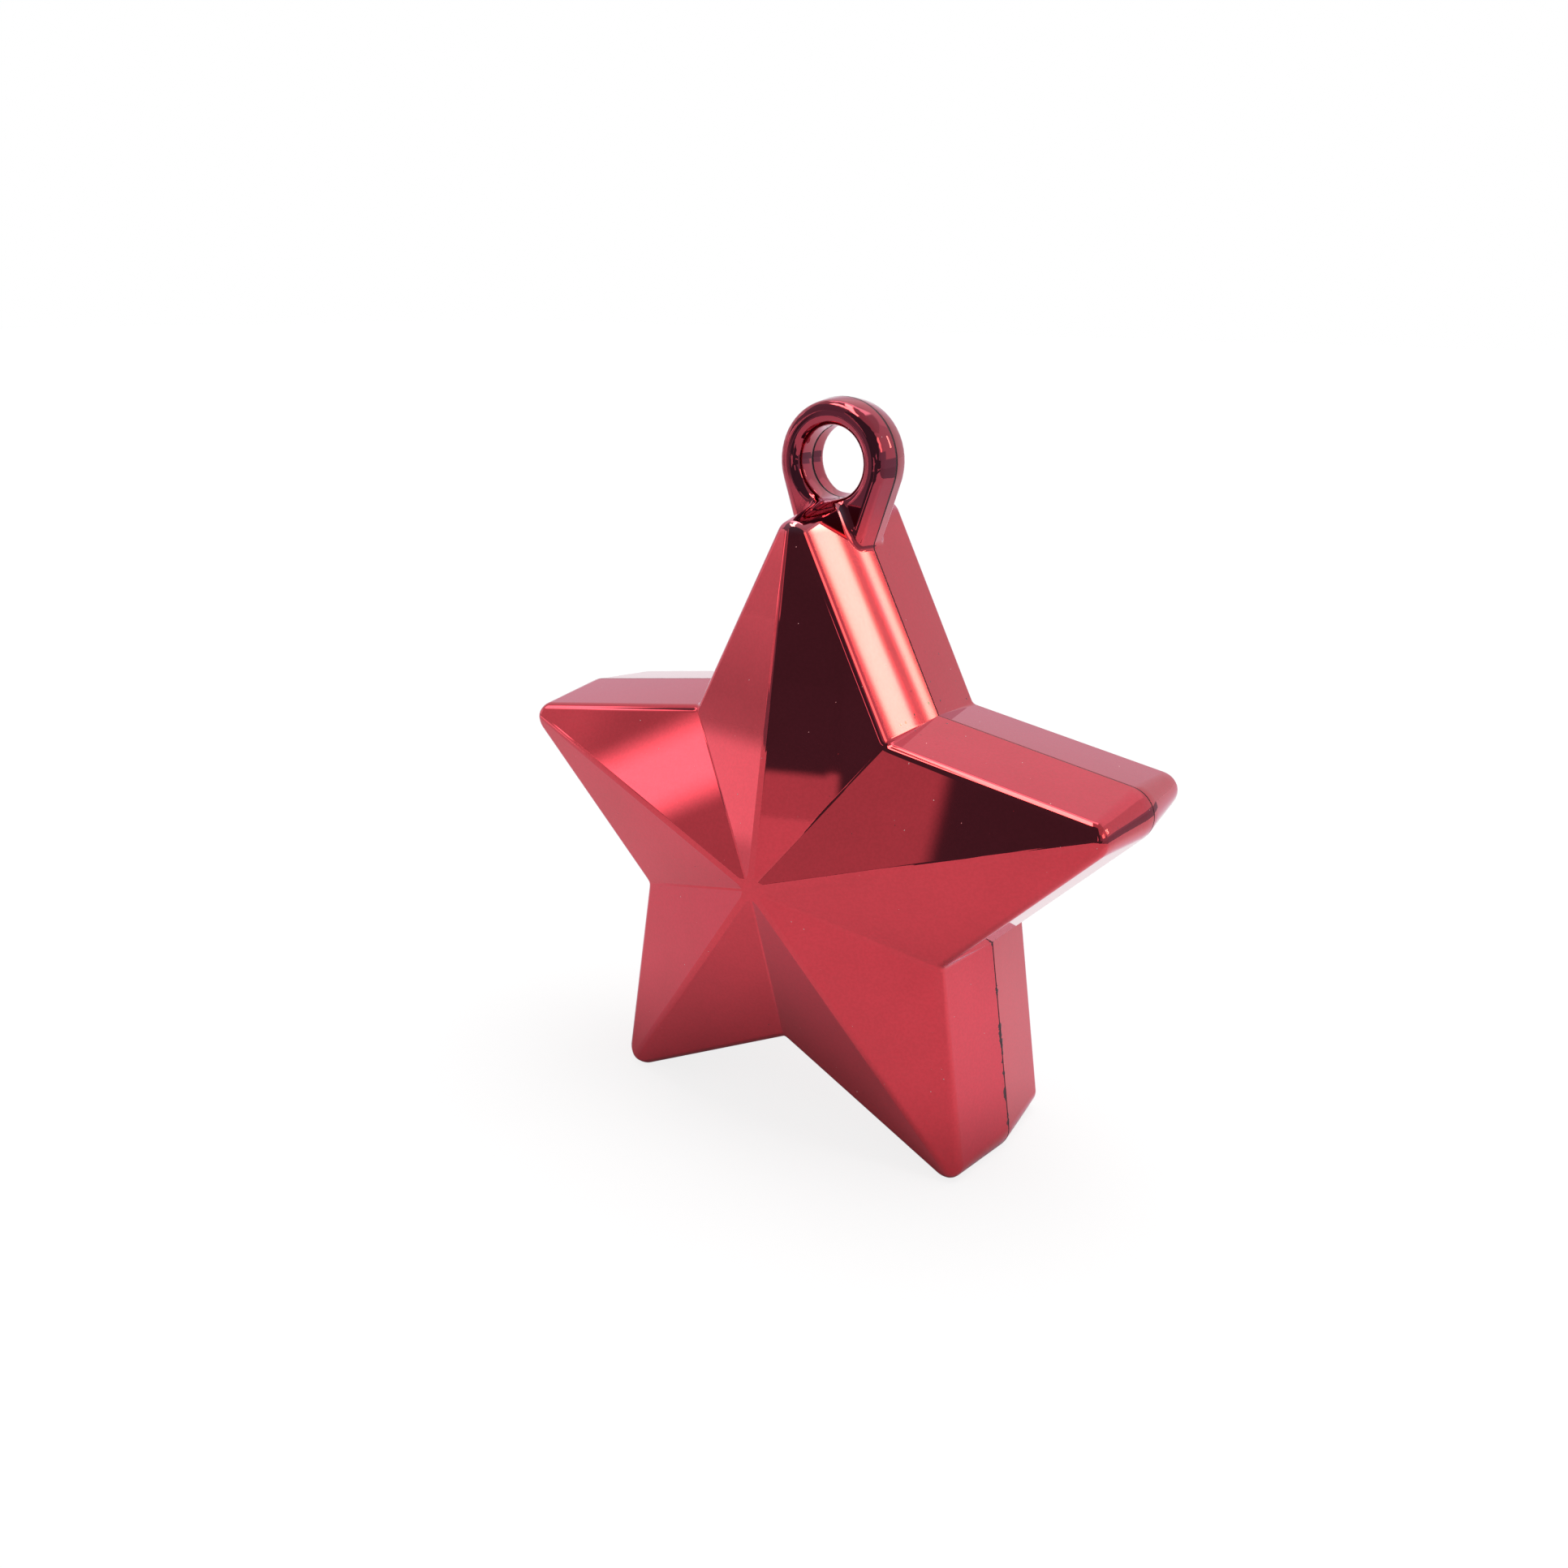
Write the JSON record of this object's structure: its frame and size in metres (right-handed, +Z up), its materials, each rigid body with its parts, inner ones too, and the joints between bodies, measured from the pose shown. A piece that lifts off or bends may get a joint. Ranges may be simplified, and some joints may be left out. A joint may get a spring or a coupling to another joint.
{
  "type": "balloon weight",
  "caption": "Free-standing star balloon weight with a faceted face on both sides and a ribbon eye on its top arm, moulded as front and rear half shells filled with cast ballast.",
  "frame": {"origin": "on the table, under the middle of the star, between its two standing arms", "axes": "+Z up towards the eye, -Y out of the front face, +X to the right seen from the front"},
  "size_m": [0.0838, 0.0366, 0.0913],
  "materials": {
    "plated_red": "bright red metallised plating on moulded plastic",
    "mortar": "rough cast mortar"
  },
  "bodies": {
    "root": {"front_shell": "plated_red", "rear_shell": "plated_red", "front_ballast": "mortar", "rear_ballast": "mortar"}
  },
  "joints": []
}
